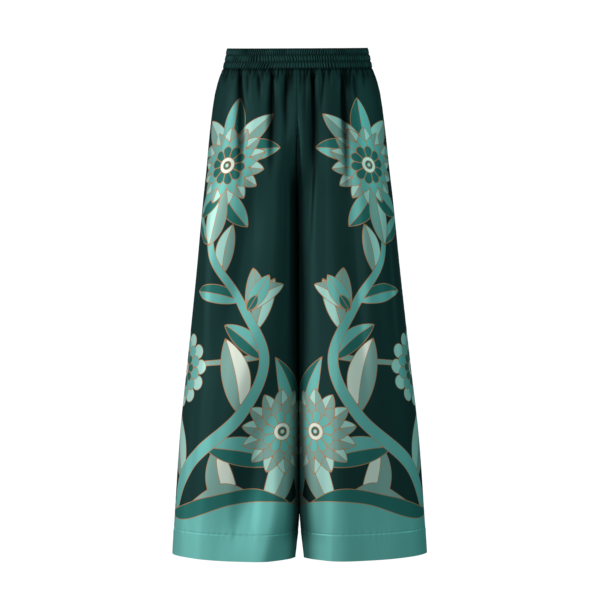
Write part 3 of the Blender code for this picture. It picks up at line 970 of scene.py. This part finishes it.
panelMaterials = [printedSatin("printedSatin"), printedSatin("printedSatinWrongSide", wrongSide=True)]
panelPieces, hemRings = {}, {}
fields = None
for side, label in ((1, "left"), (-1, "right")):
    grid, u, pits = halfGarment(side)
    v = np.broadcast_to((cut["bandSeam"] - heights)[:, None], u.shape)
    if fields is None:
        fields = makePrint(u, v)
        print("print drawn")
    fromInner = np.where(u >= 0, u[:, :1] - u, u - u[:, -1:])
    offset = reliefOf(side, u, v, fromInner, pits)
    # painted shadow: a thin dark line just under the waistband seam
    paintedShadowUnderBand = panels["seamShade"] * np.exp(-((v / panels["seamShadeWidth"]) ** 2))
    pits = panels["foldShade"] * pits + paintedShadowUnderBand
    cloth = np.stack([u, v, shadeOf(v, fromInner, pits)], axis=-1)
    outer = grid + outwardNormals(grid) * offset[..., None]
    outer[:, (0, -1), 0] = np.maximum(grid[:, (0, -1), 0], 0)
    inward = outwardNormals(outer)
    setBack = panels["thickness"] + panels["riseSetBack"] * chordRise(outer, inward)
    setBack += panels["pitSetBack"] * np.maximum(pits, 0)
    inner = outer - setBack[..., None] * inward
    inner[..., 0] = np.maximum(inner[..., 0], 0)
    for face, columns in zip(("front", "back"), halves):
        skins = [mirrored(skin[:, columns], side) for skin in (outer, inner)]
        piece = addPanel(f"{face}_{label}_satin", side, skins, fields[:, columns], cloth[:, columns])
        panelPieces[f"{face}_{label}"] = piece
    turnedUp = heights <= cut["hemTop"] + panels["hemSpare"]
    hemRings[label] = {
        "side": side, "outer": outer[turnedUp, :-1], "inward": inward[turnedUp, :-1],
        "u": u[turnedUp, :-1], "v": v[turnedUp, :-1],
    }
    print("panels made:", label)


band = {
    "columns": 1240, "outerRows": 39, "innerRows": 14, "wall": 0.0030,
    "outerEdge": 0.03, "innerEdge": 0.05, "edgeTurns": (30, 60, 90, 120, 150),
    "channels": 3, "puff": 0.0008, "pinch": 0.0002, "inset": 0.0016,
    "puckerPitches": [(0.0036, 0.0056), (0.0042, 0.0078), (0.0040, 0.0076)],
    "pucker": 0.0011, "evenShare": 0.75, "swellShare": 0.2, "innerPucker": 0.6, "lean": 0.0024, "seed": 21,
    # painted shade: how dark the pucker valleys and the band's edges are drawn in its colour
    "shade": 0.80, "shadeFrom": 0.0015, "shadeOver": 0.0021, "edgeShade": 0.35,
    "edgeShadeFrom": 0.055, "edgeShadeOver": 0.045,
}


def bandRing(z):
    evenShares = np.linspace(0, 1, band["columns"] // 4 + 1)
    front = panelRing(0.5, "front", z, evenShares)[0]
    back = panelRing(0.5, "back", z, evenShares)[0]
    half = np.vstack([front[:-1], back[::-1]])
    return np.vstack([half, half[-2:0:-1] * np.array([-1, 1, 1])])


def puckerPhase(around, pitches, rng):
    # a phase that grows by one at each pucker, whose spacing is uneven
    steps = rng.uniform(*pitches, size=int(around[-1] / pitches[0]) + 4)
    ends = np.concatenate([[0], np.cumsum(steps)])
    count = int(np.searchsorted(ends, around[-1]))
    ends = ends[: count + 1] * around[-1] / ends[count]
    return lambda at: np.interp(at % around[-1], ends, np.arange(count + 1))


def bandOffset(around, across, seed):
    # around is the distance round the band and across runs 0 to 1 from its top to its seam
    rng = np.random.default_rng(seed)
    count = band["channels"]
    inChannel = np.abs(np.sin(count * math.pi * across))
    rounding = band["puff"] * inChannel**0.7 - band["pinch"] * (1 - inChannel) ** 6
    offset = np.repeat(rounding[:, None], len(around), axis=1)
    for k in range(count):
        phase = puckerPhase(around, band["puckerPitches"][k], rng)
        starts = rng.uniform(0, 2 * math.pi, 6)
        angle = 2 * math.pi * around / around[-1]
        lean = sum(np.sin((j + 2) * angle + starts[j]) for j in range(3))
        swell = sum(np.sin((7 * j + 5) * angle + starts[3 + j]) for j in range(3))
        down = across * count - k - 0.5
        own = np.clip(1 - np.abs(2 * down) ** 7, 0, 1)
        shifted = around[None, :] + band["lean"] * lean[None, :] * down[:, None]
        strength = band["evenShare"] + band["swellShare"] * swell[None, :]
        offset += band["pucker"] * own[:, None] * (np.cos(2 * math.pi * phase(shifted)) * strength)
    return offset


def edgeRows(first, last, across, reach):
    # the rows round an edge, between a row on one side of the wall and a row on the other
    rows = []
    for angle in band["edgeTurns"]:
        share, sunk = angle / 180, (1 - math.cos(deg(angle))) / 2
        depth = first[1] + (last[1] - first[1]) * sunk
        rows.append((across + reach * math.sin(deg(angle)), depth, first[2] * (1 - share) + last[2] * share))
    return rows


def makeBand():
    # its rows are how far down the band, how far into its wall and how far moved out
    outerEdge, innerEdge = band["outerEdge"], band["innerEdge"]
    outerAcross = np.linspace(outerEdge, 1 - outerEdge, band["outerRows"])
    innerAcross = np.linspace(1 - innerEdge, innerEdge, band["innerRows"])
    height = cut["bandTop"] - cut["bandSeam"]
    around = arcLengths(*closed(bandRing(0.0), 0)[:, :2].T)
    outOffset = bandOffset(around, outerAcross, band["seed"])[:, :-1] - band["inset"]
    inOffset = bandOffset(around, innerAcross, band["seed"] + 1)[:, :-1] * band["innerPucker"]
    outside = [(across, 0.0, offset) for across, offset in zip(outerAcross, outOffset)]
    inside = [(across, band["wall"], -offset) for across, offset in zip(innerAcross, inOffset)]
    bottom = edgeRows(outside[-1], inside[0], 1 - outerEdge, outerEdge)
    middle = (outerEdge + innerEdge) / 2
    rows = outside + bottom + inside + edgeRows(inside[-1], outside[0], middle, -middle)
    grid = []
    for across, depth, offset in rows:
        ring = bandRing(cut["bandTop"] - height * across)
        along = np.roll(ring, -1, 0) - np.roll(ring, 1, 0)
        outward = np.column_stack([along[:, 1], -along[:, 0], np.zeros(len(ring))])
        outward /= np.linalg.norm(outward, axis=1)[:, None]
        grid.append(settle(ring) + outward * (offset - depth)[:, None])
    grid = np.array(grid)
    quads = gridQuads(closed(closed(gridIndex(*grid.shape[:2], 0), 0), 1))[:, ::-1]
    material = plainSatin("bandSatin", satin["bandGround"])
    mesh = makeMesh("waistband_satin", grid.reshape(-1, 3), [(quads, 0)], [material])
    across = np.array([row[0] for row in rows])
    place = np.stack(np.meshgrid(around[:-1], across * height), axis=-1).reshape(-1, 2)
    relief = np.array([row[2] for row in rows]) + band["inset"]
    # painted shade: the pucker valleys and the band's top and bottom edges are darkened in its colour
    shade = 1 - band["shade"] * smoothStep((band["shadeFrom"] - relief) / band["shadeOver"])
    fromEdge = np.minimum(across, 1 - across)
    dim = smoothStep((band["edgeShadeFrom"] - fromEdge) / band["edgeShadeOver"])
    shade *= 1 - band["edgeShade"] * dim[:, None]
    addPlace(mesh, np.column_stack([place, shade.ravel()]))
    return addPiece("waistband_satin", mesh), grid[: band["outerRows"]]


waistband, bandGrid = makeBand()
print("waistband made")


hems = {"near": 0.0008, "slack": 0.0006, "thickness": 0.0006, "slackHeight": 0.004}


def makeHem(label, ring):
    side, outer, inward = ring["side"], ring["outer"][::2, ::2], ring["inward"][::2, ::2]
    v = ring["v"][::2, ::2]
    fromEnds = np.minimum(v - v[0], v[-1] - v)
    depth = hems["near"] + hems["slack"] * smoothStep(fromEnds / hems["slackHeight"])
    face = outer - inward * depth[..., None]
    back = face - inward * hems["thickness"]
    rows, columns = face.shape[:2]
    out, inn = gridIndex(rows, columns, 0), gridIndex(rows, columns, rows * columns)
    quads = gridQuads(closed(closed(np.concatenate([out, inn[::-1]]), 0), 1))
    if side > 0:
        quads = quads[:, ::-1]
    points = mirrored(np.vstack([face.reshape(-1, 3), back.reshape(-1, 3)]), side)
    mesh = makeMesh(f"hem_{label}_satin", points, [(quads, 0)], [hemMaterial])
    u = ring["u"][::2, ::2]
    place = np.column_stack([u.ravel(), v.ravel(), np.ones(u.size)])
    addPlace(mesh, np.vstack([place, place]))
    return addPiece(f"hem_{label}_satin", mesh)


hemMaterial = plainSatin("hemSatin", satin["teal"])
hemPieces = {label: makeHem(label, ring) for label, ring in hemRings.items()}
print("hems made")


stitches = {
    "pitch": 0.0027, "length": 0.0019, "width": 0.00042, "proud": 0.00015,
    "slant": 0.10, "seed": 5, "sides": 8, "rings": 5, "roughness": 0.42,
}


def addInput(tree, name, kind):
    socket = tree.interface.new_socket(name, in_out="INPUT", socket_type=kind)
    socket.default_value = stitches[name]
    return socket.identifier


def stitchTree(material):
    # a path becomes a row of small rounded stitches that point along it
    tree = bpy.data.node_groups.new("stitchRow", "GeometryNodeTree")
    for way in ("INPUT", "OUTPUT"):
        tree.interface.new_socket("Geometry", in_out=way, socket_type="NodeSocketGeometry")
    names = {name: addInput(tree, name, "NodeSocketFloat") for name in ("pitch", "length", "width", "slant")}
    names["seed"] = addInput(tree, "seed", "NodeSocketInt")
    start = addNode(tree, "NodeGroupInput").outputs
    curve = addNode(tree, "GeometryNodeMeshToCurve", {"Mesh": start["Geometry"]}).outputs[0]
    spacing = {"Curve": curve, "Length": start["pitch"]}
    spaced = addNode(tree, "GeometryNodeCurveToPoints", spacing, mode="LENGTH").outputs
    rounds = {"Segments": stitches["sides"], "Rings": stitches["rings"], "Radius": 0.5}
    ball = addNode(tree, "GeometryNodeMeshUVSphere", rounds).outputs["Mesh"]
    heading = {"Vector": spaced["Tangent"]}
    along = addNode(tree, "FunctionNodeAlignRotationToVector", heading, axis="X").outputs[0]
    least = maths(tree, "MULTIPLY", start["slant"], -1.0)
    spread = {"Min": least, "Max": start["slant"], "Seed": start["seed"]}
    slant = liveOutput(addNode(tree, "FunctionNodeRandomValue", spread, data_type="FLOAT"))
    angles = addNode(tree, "ShaderNodeCombineXYZ", {"Z": slant}).outputs[0]
    tilt = addNode(tree, "FunctionNodeEulerToRotation", {0: angles}).outputs[0]
    turns = {0: along, 1: tilt}
    turn = addNode(tree, "FunctionNodeRotateRotation", turns, rotation_space="LOCAL").outputs[0]
    sides = {"X": start["length"], "Y": start["width"], "Z": start["width"]}
    size = addNode(tree, "ShaderNodeCombineXYZ", sides).outputs[0]
    stitch = {"Points": spaced["Points"], "Instance": ball, "Rotation": turn, "Scale": size}
    placed = addNode(tree, "GeometryNodeInstanceOnPoints", stitch).outputs[0]
    real = addNode(tree, "GeometryNodeRealizeInstances", {0: placed}).outputs[0]
    finish = addNode(tree, "GeometryNodeSetMaterial", {"Geometry": real, "Material": material}).outputs[0]
    addNode(tree, "NodeGroupOutput", {0: finish})
    return tree, names


def sewRows(name, rows, material):
    # rows are closed loops of points on the cloth
    points = np.vstack(rows)
    edges = []
    for row in rows:
        index = len(edges) + np.arange(len(row))
        edges += list(zip(index.tolist(), np.roll(index, -1).tolist()))
    mesh = bpy.data.meshes.new(name)
    mesh.from_pydata(points.tolist(), edges, [])
    piece = addPiece(name, mesh)
    tree, names = stitchTree(material)
    modifier = piece.modifiers.new("stitchRow", "NODES")
    modifier.node_group = tree
    for key, identifier in names.items():
        modifier[identifier] = stitches[key]
    evaluated = piece.evaluated_get(bpy.context.evaluated_depsgraph_get())
    sewn = bpy.data.meshes.new_from_object(evaluated)
    piece.modifiers.clear()
    piece.data = sewn
    return piece


def rowAt(rows, values, at):
    # the row of points where values, one for each row, pass a height
    k = int(np.clip(np.searchsorted(values, at) - 1, 0, len(values) - 2))
    share = (at - values[k]) / (values[k + 1] - values[k])
    return rows[k] * (1 - share) + rows[k + 1] * share


def stitchMaterial(name, colour):
    material, _, shader = newMaterial(name)
    shader.inputs["Base Color"].default_value = colour
    setSurface(shader, stitches["roughness"], 0.0)
    return material


across = np.linspace(band["outerEdge"], 1 - band["outerEdge"], band["outerRows"])
bandPaths = [rowAt(bandGrid, across, k / band["channels"]) for k in range(1, band["channels"])]
bandThread = stitchMaterial("greenThread", linear(30, 62, 58))
bandStitches = sewRows("waistband_stitches", bandPaths, bandThread)
hemPaths = []
for ring in hemRings.values():
    path, out = (rowAt(ring[name], ring["v"][:, 0], hemLineAt) for name in ("outer", "inward"))
    hemPaths.append(mirrored(path + out * stitches["proud"], ring["side"]))
hemStitches = sewRows("hem_stitches", hemPaths, stitchMaterial("tealThread", linear(132, 200, 190)))
print("stitches sewn")

for name, piece in panelPieces.items():
    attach(piece, "root")
    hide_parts(name)
for label, piece in hemPieces.items():
    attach(piece, "root")
    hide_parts(f"hem_{label}")
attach(waistband, "root")
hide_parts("waistband")
for piece, slot in ((bandStitches, "waistband_satin"), (hemStitches, "hem_satin")):
    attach(piece, "root")
